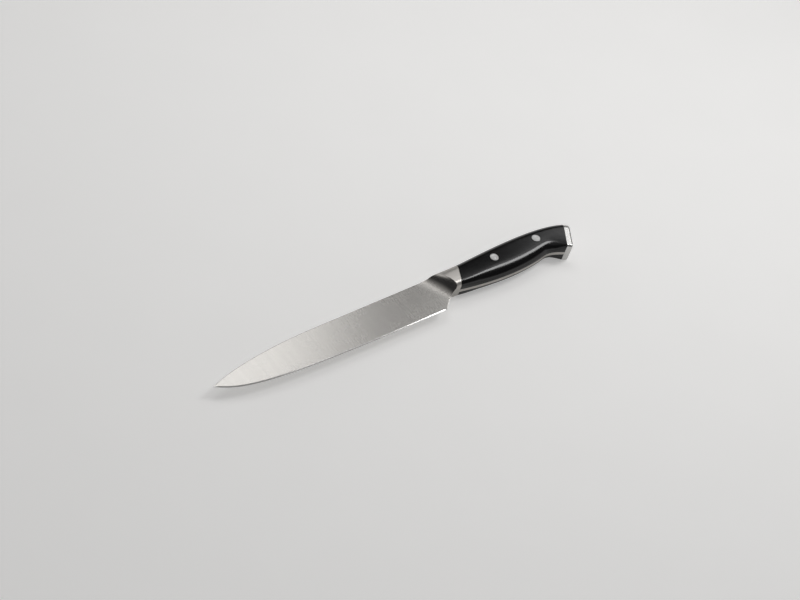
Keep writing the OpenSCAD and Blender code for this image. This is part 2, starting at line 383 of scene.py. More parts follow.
def blade_spread(height):
    """Distances down each blade section: spine rounding, face, bevel. Also where the face ends."""
    height = np.asarray(height, float)[:, None]
    spine_r = np.minimum(SPINE_R, 0.2 * height)
    face = height - np.minimum(BEVEL_H, BEVEL_SHARE * height)
    count = 2 * ARC_STEPS + FLAT_STEPS - SPINE_STEPS - len(EDGE_STEPS)
    round_steps = 1 - np.cos(np.linspace(0, math.pi / 2, SPINE_STEPS))
    down = np.hstack((
        spine_r * round_steps,
        mix(spine_r, face - FACE_SUPPORT * (height - face), np.linspace(0, 1, count)[1:]),
        face,
        mix(face, height, np.array(EDGE_STEPS)),
    ))
    return down, spine_r, face


def down_from(top, low, down):
    """Places at distances down from the top to the low end of each section."""
    height = np.linalg.norm(low - top, axis=-1)[:, None, None]
    return top[:, None] + (low - top)[:, None] * down[..., None] / height


def section_height(top, low):
    """Length of each section from its top to its low end."""
    return np.linalg.norm(low - top, axis=-1)


def blade_half():
    """Left side of the blade, from the tip to the heel."""
    x = BLADE_L * np.linspace(0, 1, BLADE_RINGS + 1) ** POINT_CROWDING
    top_x = x * HEEL_TOP_X / BLADE_L
    spine = np.where(top_x < TIP_CURVE_L, height_at(SPINE_CURVE, top_x), SPINE_Y)
    top = np.stack((top_x, np.maximum(spine, POINT_H / 2)), -1)
    low = np.stack((x, np.minimum(height_at(EDGE_CURVE, x), -POINT_H / 2)), -1)
    height = section_height(top, low)
    down, spine_r, face = blade_spread(height)
    places = down_from(top, low, down)
    depth = face_half(places) - dip(down, spine_r)
    bevel = np.clip((down - face) / (height[:, None] - face), 0, 1)
    return places, mix(depth, EDGE_T / 2, bevel)


def scoop_start():
    """Where on the curve behind the heel the hollow starts."""
    t = np.linspace(0, 1, CHOIL_SAMPLES)
    return np.interp(0, past_scoop(cubic(CHOIL_CURVE, t)), t)


def heel_half():
    """Left side behind the heel, up to the hollow."""
    t = np.linspace(0, 1, HEEL_RINGS + 1)[1:] ** HEEL_CROWDING
    top = mix(point(HEEL_TOP_X, SPINE_Y), SCOOP_TOP, t[:, None])
    low = cubic(CHOIL_CURVE, scoop_start() * t)
    height = section_height(top, low)
    down = mix(blade_spread(height)[0], section_spread(height), t[:, None])
    places = down_from(top, low, down)
    depth = hollow(places) - dip(down, SPINE_R) - dip(height[:, None] - down, HEEL_R)
    return places, depth


def bolster_places(t):
    """Places on the bolster's left side. Each row of t holds one value for each point down it."""
    low_t = np.clip(t / CHOIL_SHARE, 0, 1)
    rest = np.clip((t - CHOIL_SHARE) / (1 - CHOIL_SHARE), 0, 1)[..., None]
    start = scoop_start()
    low = cubic(CHOIL_CURVE, mix(start, 1, low_t)) + (JOINT_LOW - CHOIL_END) * rest
    top = mix(SCOOP_TOP, JOINT_TOP, t[..., None])
    height = section_height(top, low)
    columns = np.arange(t.shape[1])
    down = section_spread(height.reshape(-1)).reshape(*t.shape, -1)[:, columns, columns]
    places = top + (low - top) * (down / height)[..., None]
    return places, down, height


def creases():
    """Where the hollow reaches the bolster's side, for each point down the section."""
    low = np.zeros((1, 2 * ARC_STEPS + FLAT_STEPS))
    high = np.ones_like(low)
    for _ in range(CREASE_HALVINGS):
        t = (low + high) / 2
        places, down, height = bolster_places(t)
        short = hollow(places) < crowned(side_height(down, height), down, height)
        low, high = np.where(short, t, low), np.where(short, high, t)
    return (low + high) / 2


def bolster_half():
    """Left side of the hollow and the bolster, with rings closest together at their crease."""
    crease = creases()
    up_to = (1 - (1 - np.linspace(0, 1, HOLLOW_RINGS + 1)[1:]) ** CREASE_CROWDING)[:, None]
    past = (np.linspace(0, 1, BOLSTER_RINGS + 1)[1:] ** CREASE_CROWDING)[:, None]
    places, down, height = bolster_places(np.vstack((crease * up_to, mix(crease, 1, past))))
    side = crowned(side_height(down, height), down, height)
    depth = soft_min(hollow(places), side, CREASE_SOFTNESS)
    depth -= dip(down, SPINE_R) + dip(height - down, HEEL_R)
    return places, depth


def broken_end(places, depth):
    """The last section twice: a little before its end, and drawn in at the end."""
    back = mix(places[-1], places[-2], SEAM_START)
    middle = places[-1].mean(0)
    drawn = mix(middle, places[-1], 1 - SEAM_R / SEAM_HALF_H)
    places = np.concatenate((places[:-1], back[None], drawn[None]))
    return places, np.vstack((depth, depth[-1:] - SEAM_R))


def whole_rings(places, depth):
    """Closed rings from their left halves: down the left side, under, up the right side, over."""
    left = np.concatenate((places, depth[..., None]), -1)
    right = left[:, ::-1] * (1, 1, -1)
    steps = np.linspace(0, 1, WALL_POINTS)[1:-1, None]
    under = mix(left[:, -1:], right[:, :1], steps)
    over = mix(right[:, -1:], left[:, :1], steps)
    return np.concatenate((left, under, right, over), axis=1)


def new_piece(name, places, faces):
    """A mesh object from places in millimetres, its faces turned outwards."""
    mesh = bpy.data.meshes.new(name)
    mesh.from_pydata(in_frame(places).tolist(), [], faces)
    shell = bmesh.new()
    shell.from_mesh(mesh)
    bmesh.ops.remove_doubles(shell, verts=shell.verts, dist=MERGE_DISTANCE)
    bmesh.ops.recalc_face_normals(shell, faces=shell.faces)
    shell.to_mesh(mesh)
    shell.free()
    piece = bpy.data.objects.new(name, mesh)
    bpy.context.scene.collection.objects.link(piece)
    return piece


def skin(name, rings):
    """A closed mesh over rings of points, with a face over each end."""
    count, size = rings.shape[:2]
    corners = np.arange(count * size).reshape(count, size)
    here, after = corners[:-1], corners[1:]
    quads = np.stack((here, np.roll(here, -1, 1), np.roll(after, -1, 1), after), -1)
    ends = [corners[0, ::-1].tolist(), corners[-1].tolist()]
    return new_piece(name, rings.reshape(-1, 3), quads.reshape(-1, 4).tolist() + ends)


def slab(name, outline, half):
    """A flat plate with some outline, as thick as twice half."""
    count = len(outline)
    places = [(x, y, z) for z in (half, -half) for x, y in outline]
    faces = [list(range(count)), list(range(2 * count - 1, count - 1, -1))]
    faces += [[i, i + count, (i + 1) % count + count, (i + 1) % count] for i in range(count)]
    return new_piece(name, places, faces)


def settle(piece):
    """Turns the piece's modifiers into its plain mesh."""
    graph = bpy.context.evaluated_depsgraph_get()
    made = bpy.data.meshes.new_from_object(piece.evaluated_get(graph), depsgraph=graph)
    piece.modifiers.clear()
    piece.data = made
    made.name = piece.name
    return piece


def painted(piece, finish):
    """One material all over the piece."""
    piece.data.materials.clear()
    piece.data.materials.append(finish)
    piece.data.polygons.foreach_set("material_index", [0] * len(piece.data.polygons))
    return piece


def combine(piece, tool, operation):
    """Joins the tool to the piece, or cuts it out of it. The tool goes."""
    change = piece.modifiers.new("combine", "BOOLEAN")
    change.operation = operation
    change.solver = "MANIFOLD"
    change.object = tool
    settle(piece)
    bpy.data.objects.remove(tool)
    return piece


def smooth(piece):
    """Smooth shading that breaks at sharp edges."""
    piece.data.shade_smooth()
    piece.data.set_sharp_from_angle(angle=SHARP_ANGLE)
    return piece


def crisp(piece):
    """Smooth shading that stays flat on flat faces too."""
    weigh = smooth(piece).modifiers.new("weigh", "WEIGHTED_NORMAL")
    weigh.weight = FLAT_WEIGHT
    weigh.keep_sharp = True
    return settle(piece)


# Node trees


class Socket:
    """An output of a node tree, so that maths on it is written as plain Python."""

    def __init__(self, tree, socket):
        self.tree, self.socket = tree, socket

    def _with(self, operation, a, b=None, c=None):
        many = any(isinstance(v, Socket) and v.socket.type == "VECTOR" for v in (a, b))
        kind = "ShaderNodeVectorMath" if many else "ShaderNodeMath"
        values = {i: v for i, v in enumerate((a, b, c)) if v is not None}
        return self.tree.node(kind, {"operation": operation}, values)

    def __add__(self, other):
        return self._with("ADD", self, other)

    def __radd__(self, other):
        return self._with("ADD", other, self)

    def __sub__(self, other):
        return self._with("SUBTRACT", self, other)

    def __rsub__(self, other):
        return self._with("SUBTRACT", other, self)

    def __mul__(self, other):
        return self._with("MULTIPLY", self, other)

    def __rmul__(self, other):
        return self._with("MULTIPLY", other, self)

    def __truediv__(self, other):
        return self._with("DIVIDE", self, other)

    def __rtruediv__(self, other):
        return self._with("DIVIDE", other, self)

    def __neg__(self):
        return self * -1.0

    def maths(self, operation, *others):
        """Any other operation of a Math node, or of a Vector Math node for a vector."""
        return self._with(operation, self, *others)

    def scaled(self, factor):
        """A vector times a number."""
        return self.tree.node("ShaderNodeVectorMath", {"operation": "SCALE"}, {0: self, "Scale": factor})

    def clamped(self):
        """Kept between 0 and 1."""
        return self.tree.node("ShaderNodeClamp", {}, {"Value": self})

    def step(self, low, high):
        """0 below low, 1 above high, and smooth between them."""
        ends = {"Value": self, "From Min": low, "From Max": high}
        return self.tree.node("ShaderNodeMapRange", {"interpolation_type": "SMOOTHSTEP"}, ends)


class Tree:
    """A node tree. node() adds a node of any kind and gives the output that is wanted."""

    def __init__(self, nodes):
        self.nodes = nodes

    def add(self, kind, settings=None, values=None):
        """Adds a node, with its settings and then the values or links of its inputs."""
        node = self.nodes.nodes.new(kind)
        for name, value in (settings or {}).items():
            setattr(node, name, value)
        for name, value in (values or {}).items():
            self.put(node, name, value)
        return node

    def put(self, node, name, value):
        """Links an input, or sets its value, which a vector takes three times."""
        socket = node.inputs[name]
        if isinstance(value, Socket):
            self.nodes.links.new(value.socket, socket)
        elif isinstance(value, (int, float)) and socket.type == "VECTOR":
            socket.default_value = (value,) * 3
        else:
            socket.default_value = value

    def out(self, node, name=0):
        return Socket(self, node.outputs[name])

    def node(self, kind, settings=None, values=None, output=None):
        """Adds a node and gives one of its outputs, by name, or else the first that is in use."""
        node = self.add(kind, settings, values)
        if output is None:
            output = next(i for i, socket in enumerate(node.outputs) if socket.enabled)
        return self.out(node, output)

    def split(self, vector):
        node = self.add("ShaderNodeSeparateXYZ", {}, {"Vector": vector})
        return [self.out(node, axis) for axis in "XYZ"]

    def vector(self, x, y, z):
        return self.node("ShaderNodeCombineXYZ", {}, {"X": x, "Y": y, "Z": z})

    def blend(self, share, a, b):
        """A colour between a and b."""
        values = {"Factor": share, 6: (*a, 1) if isinstance(a, tuple) else a}
        values[7] = (*b, 1) if isinstance(b, tuple) else b
        return self.node("ShaderNodeMix", {"data_type": "RGBA"}, values, 2)


class Finish(Tree):
    """A material. Patterns lie in millimetres on the piece's own coordinates."""

    def __init__(self, name):
        self.material = bpy.data.materials.new(name)
        self.material.use_nodes = True
        super().__init__(self.material.node_tree)
        self.nodes.nodes.clear()
        place = self.node("ShaderNodeTexCoord", {}, {}, "Object")
        self.place = place.scaled(1 / MM)

    def noise(self, scale, stretch=(1, 1, 1), detail=3.0, roughness=0.6):
        """Noise with some number of features to the millimetre, finer or coarser along an axis."""
        where = self.place * self.vector(*stretch)
        values = {"Vector": where, "Scale": scale, "Detail": detail, "Roughness": roughness}
        return self.node("ShaderNodeTexNoise", {"noise_dimensions": "3D"}, values, "Fac")

    def kept(self, name):
        """A value that the mesh keeps at each of its points."""
        return self.node("ShaderNodeAttribute", {"attribute_name": name}, {}, "Fac")

    def bump(self, height, size):
        """A normal from a height that goes from 0 to 1 over some size in millimetres."""
        return self.node("ShaderNodeBump", {}, {"Height": height, "Distance": size * MM})

    def surface(self, values):
        """Ends the material in one Principled shader with these values."""
        shader = self.node("ShaderNodeBsdfPrincipled", {}, values)
        self.add("ShaderNodeOutputMaterial", {}, {"Surface": shader})
        return self.material


def swing(pattern, amount):
    """A pattern from 0 to 1 as a change of some amount in all, half of it either way."""
    return (pattern - 0.5) * amount


def steel_zones(f):
    """Where the steel is polished, deep in the hollow, on the bolster's side and on the bevel."""
    x, y, _ = f.split(f.place)
    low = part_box("blade")[0]
    scoop = ((x - (low.x / MM + SCOOP_X)) * math.cos(SCOOP_SLANT)
             + (y - (low.y / MM - HEEL_Y)) * math.sin(SCOOP_SLANT))
    heel_x = low.x / MM + BLADE_L
    before_heel = 1 - x.step(heel_x - HEEL_FADE, heel_x + HEEL_FADE)
    bevel = 1 - f.kept("above_edge").step(BEVEL_H - BEVEL_FADE, BEVEL_H + BEVEL_FADE)
    return scoop.step(*POLISH_FADE), scoop.step(*DEEP_FADE), f.kept("on_side"), bevel * before_heel


def steel_finish():
    """Satin blade ground across its length, bright bevel, polished hollow and bolster, whose darker tone
    is partly painted shade.
    """
    f = Finish("blade_steel_satin")
    polish_and_shade, deep, side, bevel = steel_zones(f)
    lines = f.noise(5.0, stretch=(1, 0.012, 0.2), roughness=0.65)
    bands = f.noise(0.5, stretch=(1, 0.04, 0.1))
    cloud = f.noise(0.045, stretch=(1, 1.6, 1), detail=2.0, roughness=0.5)
    scuffs = f.noise(0.7, stretch=(0.25, 2.6, 1), detail=4.0, roughness=0.7)
    satin = 0.5 + swing(lines, 0.3) + swing(bands, 0.6)
    tone = f.blend(satin.clamped(), SATIN_DARK, SATIN_LIGHT)
    tone = f.blend(cloud.step(0.3, 0.75) * 0.25, tone, SATIN_CLOUD)
    # The polished zone takes a darker tone, partly painted shade that deepens the hollow
    tone = f.blend(polish_and_shade, tone, POLISHED_AND_SHADE)
    tone = f.blend(bevel, tone, BEVEL_TONE)
    rough = SATIN_ROUGH + swing(lines, 0.03) + swing(cloud, 0.03)
    worked = POLISHED_ROUGH - deep * 0.07 + side * 0.2 + swing(scuffs, 0.04)
    rough = rough * (1 - polish_and_shade) + worked * polish_and_shade
    rough = rough * (1 - bevel) + (BEVEL_ROUGH + lines * 0.02) * bevel
    grain = (lines + bands * 0.3) * (1 - polish_and_shade * 0.8)
    return f.surface({
        "Base Color": tone, "Metallic": 1.0, "Roughness": rough,
        "Normal": f.bump(grain, SATIN_GRAIN),
    })


def scale_finish():
    """Dense black moulding: semi-gloss, with a faint grain and hairline scuffs from use."""
    f = Finish("scale_black_moulded")
    grain = f.noise(2.2)
    flow = f.noise(0.06, stretch=(1, 2.5, 2.5), roughness=0.55)
    scuffs = f.noise(1.4, stretch=(0.12, 3.0, 3.0), detail=5.0, roughness=0.75).step(0.60, 0.72)
    tone = f.blend(flow, SCALE_DARK, SCALE_LIGHT)
    tone = f.blend(scuffs * 0.12, tone, SCALE_SCUFF)
    rough = SCALE_ROUGH + swing(flow, 0.04) + swing(grain, 0.03) + scuffs * 0.05
    return f.surface({
        "Base Color": tone, "Roughness": rough, "Specular IOR Level": 0.5,
        "Normal": f.bump(grain * 0.6 + scuffs * 0.4, SCALE_GRAIN),
    })


def rivet_finish():
    """Ground rivet steel with turning marks round its middle."""
    f = Finish("rivet_steel_turned")
    waves = (f.kept("turn_radius") * TURNING).maths("SINE") * 0.5 + 0.5
    mottle = f.noise(1.1)
    tone = f.blend(mottle * 0.7 + waves * 0.3, RIVET_DARK, RIVET_LIGHT)
    rough = RIVET_ROUGH + waves * 0.05 + mottle * 0.05
    return f.surface({
        "Base Color": tone, "Metallic": 1.0, "Roughness": rough,
        "Normal": f.bump(waves + mottle * 0.5, RIVET_GRAIN),
    })


def cap_finish():
    """Polished cap steel with hairlines along its height."""
    f = Finish("cap_steel_polished")
    lines = f.noise(2.5, stretch=(1, 0.02, 0.3))
    haze = f.noise(0.12, detail=2.0, roughness=0.5)
    tone = f.blend(haze, CAP_DARK, CAP_LIGHT)
    rough = CAP_ROUGH + lines * 0.03
    return f.surface({
        "Base Color": tone, "Metallic": 1.0, "Roughness": rough,
        "Normal": f.bump(lines, CAP_GRAIN),
    })


# Geometry node trees


class Shaper(Tree):
    """A geometry tree with named inputs, that ends in real, painted geometry."""

    def __init__(self, name, inputs):
        group = bpy.data.node_groups.new(name, "GeometryNodeTree")
        super().__init__(group)
        group.interface.new_socket("Mesh", in_out="OUTPUT", socket_type="NodeSocketGeometry")
        self.inputs = {}
        for label, kind in inputs.items():
            self.inputs[label] = group.interface.new_socket(label, in_out="INPUT", socket_type=kind)
        self.entry = self.add("NodeGroupInput")

    def __getitem__(self, label):
        return self.out(self.entry, label)

    def end(self, mesh):
        """Makes instances real, merges seams, sets the material and closes the tree."""
        real = self.node("GeometryNodeRealizeInstances", {}, {"Geometry": mesh})
        merge = {"Geometry": real, "Distance": MERGE_DISTANCE}
        whole = self.node("GeometryNodeMergeByDistance", {}, merge)
        painted = self.node(
            "GeometryNodeSetMaterial", {}, {"Geometry": whole, "Material": self["Material"]}
        )
        self.add("NodeGroupOutput", {}, {0: painted})

    def grid(self, rows, columns):
        """A grid and, for each of its points, its row and its column."""
        size = {"Size X": 1.0, "Size Y": 1.0, "Vertices X": rows, "Vertices Y": columns}
        mesh = self.node("GeometryNodeMeshGrid", {}, size, "Mesh")
        x, y, _ = self.split(self.node("GeometryNodeInputPosition"))
        row = ((x + 0.5) * (rows - 1)).maths("ROUND")
        column = ((y + 0.5) * (columns - 1)).maths("ROUND")
        return mesh, row, column

    def moved(self, mesh, place):
        """The mesh with each of its points at its place."""
        return self.node("GeometryNodeSetPosition", {}, {"Geometry": mesh, "Position": place})

    def make(self, name, values):
        """A piece from the tree, with values for its named inputs."""
        piece = bpy.data.objects.new(name, bpy.data.meshes.new(name))
        bpy.context.scene.collection.objects.link(piece)
        shape = piece.modifiers.new("shape", "NODES")
        shape.node_group = self.nodes
        for label, value in values.items():
            shape[self.inputs[label].identifier] = value
        return settle(piece)


def bezier(g, line, t):
    """A place on one of the tree's curves, whose four points are inputs."""
    u = 1 - t
    weights = (u * u * u, 3 * (t * u * u), 3 * (t * t * u), t * t * t)
    terms = [g[f"{line} {i}"].scaled(w) for i, w in enumerate(weights)]
    return terms[0] + terms[1] + terms[2] + terms[3]


def along_scale(row):
    """How far along the scale each ring lies, and 1 on the rings that draw it in or close it."""
    last_row = SCALE_ROWS - 1
    share = ((row - END_ROWS) / (last_row - 2 * END_ROWS)).clamped()
    first = (END_ROWS - row).clamped()
    last = (row - (last_row - END_ROWS)).clamped()
    t = (SCALE_SEAM + share * (1 - 2 * SCALE_SEAM)) - first * SCALE_SEAM + last * SCALE_SEAM
    drawn = (first + last).maths("MINIMUM", 1.0)
    closed = (1 - row).clamped() + (row - (last_row - 1)).clamped()
    return t, drawn, closed


def low_rounding(g, t):
    """The lower corner's radius along the scale, and how far a place is on its way to the cap."""
    joint_r, cap_r = g["Joint Rounding"], g["Cap Rounding"]
    palm_r = g["Palm Rounding"] + g["Palm Swell"] * t.step(g["Palm Start"], g["Palm End"])
    to_cap = ((t - g["Palm End"]) / (1 - g["Palm End"])).clamped().maths("POWER", g["Palm Fade"])
    to_palm = t.step(0.0, g["Palm Start"])
    return joint_r + (palm_r - joint_r) * to_palm + (cap_r - palm_r) * to_cap, to_cap


def scale_section(g, column, height, low_r, to_cap):
    """Distance down from the top line and depth, for each point round the scale's section."""
    starts = np.cumsum((0, *SECTION_STEPS.values()))
    done, rise, fall = {}, {}, {}
    for (stretch, steps), start in zip(SECTION_STEPS.items(), starts):
        share = ((column - float(start)) / float(steps)).clamped()
        quarter = share * (math.pi / 2)
        done[stretch] = share
        rise[stretch] = quarter.maths("SINE")
        fall[stretch] = 1 - quarter.maths("COSINE")
    seam, tang, side = g["Seam Rounding"], g["Tang Half"], g["Half Thickness"]
    top_r, low_z = g["Top Rounding"], low_r.maths("MINIMUM", g["Palm Depth"])
    down = (seam * (1 - rise["top seam"]) + top_r * fall["top rounding"]
            + (height - top_r - low_r) * done["side"] + low_r * rise["low rounding"]
            - seam * fall["low seam"] - (height - 2 * seam) * done["inner face"])
    depth = (tang + seam * fall["top seam"] + (side - top_r - tang - seam) * done["top"]
             + top_r * rise["top rounding"] - low_z * fall["low rounding"]
             - (side - low_z - tang - seam) * done["underside"] - seam * rise["low seam"])
    below = ((down - height + g["Crown Height"]) / g["Crown Height"]).clamped()
    crown = g["Crown Drop"] * (1 - to_cap) * below * below
    return down, depth - crown * ((depth - tang) / (side - tang)).clamped()


def scale_shaper():
    """The handle scale: one rounded section carried between the top line and the underside."""
    points = [f"{line} {i}" for line in ("Top", "Belly", "Hook") for i in range(4)]
    sizes = (
        "Belly Share", "Half Thickness", "Tang Half", "Top Rounding", "Joint Rounding",
        "Palm Rounding", "Palm Swell", "Palm Depth", "Cap Rounding", "Palm Start", "Palm End",
        "Palm Fade", "Crown Height", "Crown Drop", "Seam Rounding", "Side",
    )
    g = Shaper("handle_scale", {
        **{label: "NodeSocketVector" for label in points},
        **{label: "NodeSocketFloat" for label in sizes},
        "Material": "NodeSocketMaterial",
    })
    mesh, row, column = g.grid(SCALE_ROWS, sum(SECTION_STEPS.values()) + 1)
    t, drawn, closed = along_scale(row)
    belly = bezier(g, "Belly", (t / g["Belly Share"]).clamped())
    hook = bezier(g, "Hook", ((t - g["Belly Share"]) / (1 - g["Belly Share"])).clamped())
    top, low = bezier(g, "Top", t), belly + hook - g["Hook 0"]
    height = (low - top).maths("LENGTH")
    down, depth = scale_section(g, column, height, *low_rounding(g, t))
    seam, tang, side = g["Seam Rounding"], g["Tang Half"], g["Half Thickness"]
    middle = (side + tang) / 2
    down = height / 2 + (down - height / 2) * (1 - drawn * (seam * 2 / height)) * (1 - closed)
    depth = middle + (depth - middle) * (1 - drawn * (seam * 2 / (side - tang))) * (1 - closed)
    place = top + (low - top).scaled(down / height) + g.vector(0.0, 0.0, depth * g["Side"])
    smoothed = g.node("GeometryNodeSetShadeSmooth", {}, {"Geometry": g.moved(mesh, place)})
    g.end(smoothed)
    return g


def turned_shaper(name, sizes, profile):
    """A turned piece: a profile of straight strokes carried round an axis along Z.

    profile() gets the sizes as sockets and gives the start (radius, height) and the strokes, each
    (steps, change of radius, change of height).
    """
    g = Shaper(name, {
        **{label: "NodeSocketFloat" for label in sizes},
        "Place": "NodeSocketVector", "Turn": "NodeSocketFloat", "Material": "NodeSocketMaterial",
    })
    (radius, height), strokes = profile({label: g[label] for label in sizes})
    steps = [count for count, _, _ in strokes]
    mesh, row, column = g.grid(sum(steps) + 1, TURN_STEPS + 1)
    for start, (count, out, up) in zip(np.cumsum((0, *steps)), strokes):
        done = ((row - float(start)) / float(count)).clamped()
        radius = radius + done * out
        height = height + done * up
    angle = column * (2 * math.pi / TURN_STEPS)
    place = g.vector(angle.maths("COSINE") * radius, angle.maths("SINE") * radius, height)
    shaped = g.moved(mesh, place)
    marked = g.node(
        "GeometryNodeStoreNamedAttribute", {"data_type": "FLOAT", "domain": "POINT"},
        {"Geometry": shaped, "Name": "turn_radius", "Value": radius / MM},
    )
    spot = g.node("GeometryNodeMeshLine", {}, {"Count": 1, "Start Location": g["Place"]})
    turn = g.vector(g["Turn"], 0.0, 0.0)
    put = g.node(
        "GeometryNodeInstanceOnPoints", {}, {"Points": spot, "Instance": marked, "Rotation": turn}
    )
    g.end(put)
    return g


def pin_profile(size):
    """Solid half of a rivet: head upwards with a broken edge, and its shank below."""
    head, shank, edge = size["Head Radius"], size["Shank Radius"], size["Broken Edge"]
    ring, wide, deep = size["Ring Radius"], size["Ring Width"], size["Ring Depth"]
    strokes = (
        (4, ring - wide, 0.0), (2, wide, -deep), (2, wide, deep),
        (6, head - edge - ring - wide, 0.0),
        (1, edge, -edge), (2, 0.0, edge - size["Head Height"]),
        (3, shank - head, 0.0), (4, 0.0, size["Head Height"] - size["Length"] + edge),
        (1, -edge, -edge), (4, edge - shank, 0.0),
    )
    return (0.0, 0.0), strokes


def tube_profile(size):
    """Tubular half of a rivet: head upwards, and below it a tube that is open at its end."""
    head, tube, bore = size["Head Radius"], size["Tube Radius"], size["Bore Radius"]
    edge, thick = size["Broken Edge"], size["Head Height"]
    ring, wide, deep = size["Ring Radius"], size["Ring Width"], size["Ring Depth"]
    strokes = (
        (4, ring - wide, 0.0), (2, wide, -deep), (2, wide, deep),
        (6, head - edge - ring - wide, 0.0),
        (1, edge, -edge), (2, 0.0, edge - thick), (2, tube - head, 0.0),
        (4, 0.0, thick - size["Length"]), (1, bore - tube, 0.0),
        (4, 0.0, size["Length"] - thick), (4, -bore, 0.0),
    )
    return (0.0, 0.0), strokes


def pocket_profile(size):
    """What a rivet takes out of a scale: head pocket with a broken rim, and the hole below."""
    head, hole, edge = size["Head Radius"], size["Hole Radius"], size["Broken Edge"]
    proud = size["Proud"]
    strokes = (
        (1, head + edge + proud, 0.0), (1, -edge - proud, -edge - proud),
        (1, 0.0, edge - size["Head Height"]), (1, hole - head, 0.0),
        (1, 0.0, size["Head Height"] - size["Length"]), (1, -hole, 0.0),
    )
    return (0.0, proud), strokes


def metres(**sizes):
    """Millimetre sizes for a tree's inputs, with spaces for the underscores in their labels."""
    return {label.replace("_", " "): size * MM for label, size in sizes.items()}


def rivet_place(number, side):
    """Middle of a rivet head's outer face, on the left side (1) or the right side (-1)."""
    x, y = point(JOINT_X, 0) + FRONT_RIVET + number * RIVET_STEP
    return in_frame((x, y, side * HALF_T))


def make_forging(finish):
    """Blade, hollow, bolster and tang: one steel forging."""
    halves = [blade_half(), heel_half(), bolster_half()]
    places, depth = (np.concatenate(part) for part in zip(*halves))
    forging = skin("forged_blade", whole_rings(*broken_end(places, depth)))
    combine(forging, make_tang(), "UNION")
    note_zones(forging)
    return painted(smooth(forging), finish)


def make_tang():
    """The flat tang: its root in the bolster, the grip between the scales, and the tenon."""
    t = np.linspace(0, 1, TANG_STEPS + 1)
    low = np.where(
        (t < BELLY_SHARE)[:, None], cubic(BELLY_CURVE, t / BELLY_SHARE),
        cubic(HOOK_CURVE, (t - BELLY_SHARE) / (1 - BELLY_SHARE)),
    )
    outline = np.vstack((
        JOINT_TOP - (TANG_ROOT_L, TANG_ROOT_INSET), JOINT_LOW - (TANG_ROOT_L, -TANG_ROOT_INSET),
        low, tenon_corners(TENON_W, 0, TENON_L), cubic(TOP_CURVE, t)[::-1],
    ))
    tang = slab("tang", outline, TANG_T / 2)
    hole = metres(Radius=TUBE_D / 2 + RIVET_GAP, Length=2 * TANG_T)
    drill = turned_shaper("drill", hole, drill_profile)
    for number in (0, 1):
        x, y, z = rivet_place(number, 0)
        bit = drill.make("bit", {**hole, "Place": (x, y, z + TANG_T * MM)})
        combine(tang, bit, "DIFFERENCE")
    return tang


def drill_profile(size):
    """What a rivet's hole takes out of the tang."""
    radius = size["Radius"]
    return (0.0, 0.0), ((1, radius, 0.0), (1, 0.0, -size["Length"]), (1, -radius, 0.0))


def tenon_corners(width, start, end):
    """Corners of the tenon, or of its pocket, from one distance out of the joint to another."""
    middle = mix(CAP_TOP, CAP_LOW, TENON_SHARE)
    across = CAP_DOWN * width / 2
    return np.array([
        middle + across + CAP_OUT * start, middle + across + CAP_OUT * end,
        middle - across + CAP_OUT * end, middle - across + CAP_OUT * start,
    ])


def note_zones(forging):
    """Keeps what the finish needs at each point: the height above the cutting edge in millimetres,
    and whether the point lies on the bolster's side, past the hollow's crease."""
    mesh = forging.data
    places = np.empty(len(mesh.vertices) * 3, np.float32)
    mesh.vertices.foreach_get("co", places)
    x, y, z = ((places.reshape(-1, 3) - in_frame((0, 0, 0))) / MM).T
    flat = np.stack((x, y), -1)
    side = np.clip((hollow(flat) - np.abs(z)) / SIDE_FADE, 0, 1) * (past_scoop(flat) > SIDE_START)
    for name, values in (("above_edge", y - height_at(EDGE_CURVE, x)), ("on_side", side)):
        note = mesh.attributes.new(name, "FLOAT", "POINT")
        note.data.foreach_set("value", values.astype(np.float32))


def make_cap(finish):
    """The slanted end cap, with its outer edge rounded and a pocket for the tenon."""
    angles = np.linspace(0, math.pi / 2, CAP_ARC_STEPS)
    steps = [(0, SEAM_R), (SEAM_R, 0)]
    steps += [(CAP_T - CAP_R + CAP_R * math.sin(a), CAP_R - CAP_R * math.cos(a)) for a in angles]
    rings = []
    for out, inset in steps:
        top, low = CAP_TOP + CAP_OUT * out, CAP_LOW + CAP_OUT * out
        height = section_height(top, low)
        down = section_spread([height], CAP_BOTTOM_R)[0]
        depth = side_height(down, height, CAP_BOTTOM_R)
        share = (height - 2 * inset) / height
        down = inset + down * share
        places = down_from(top[None], low[None], down[None])
        side_inset = inset if out < CAP_T / 2 else inset * CAP_SIDE_R / CAP_R
        rings.append(whole_rings(places, (depth - side_inset)[None])[0])
    cap = skin("butt_cap", np.array(rings))
    width, end = TENON_W + 2 * TENON_GAP, TENON_L + TENON_GAP
    pocket = slab("pocket", tenon_corners(width, -1, end), TANG_T / 2 + TENON_GAP)
    combine(cap, pocket, "DIFFERENCE")
    return painted(crisp(cap), finish)


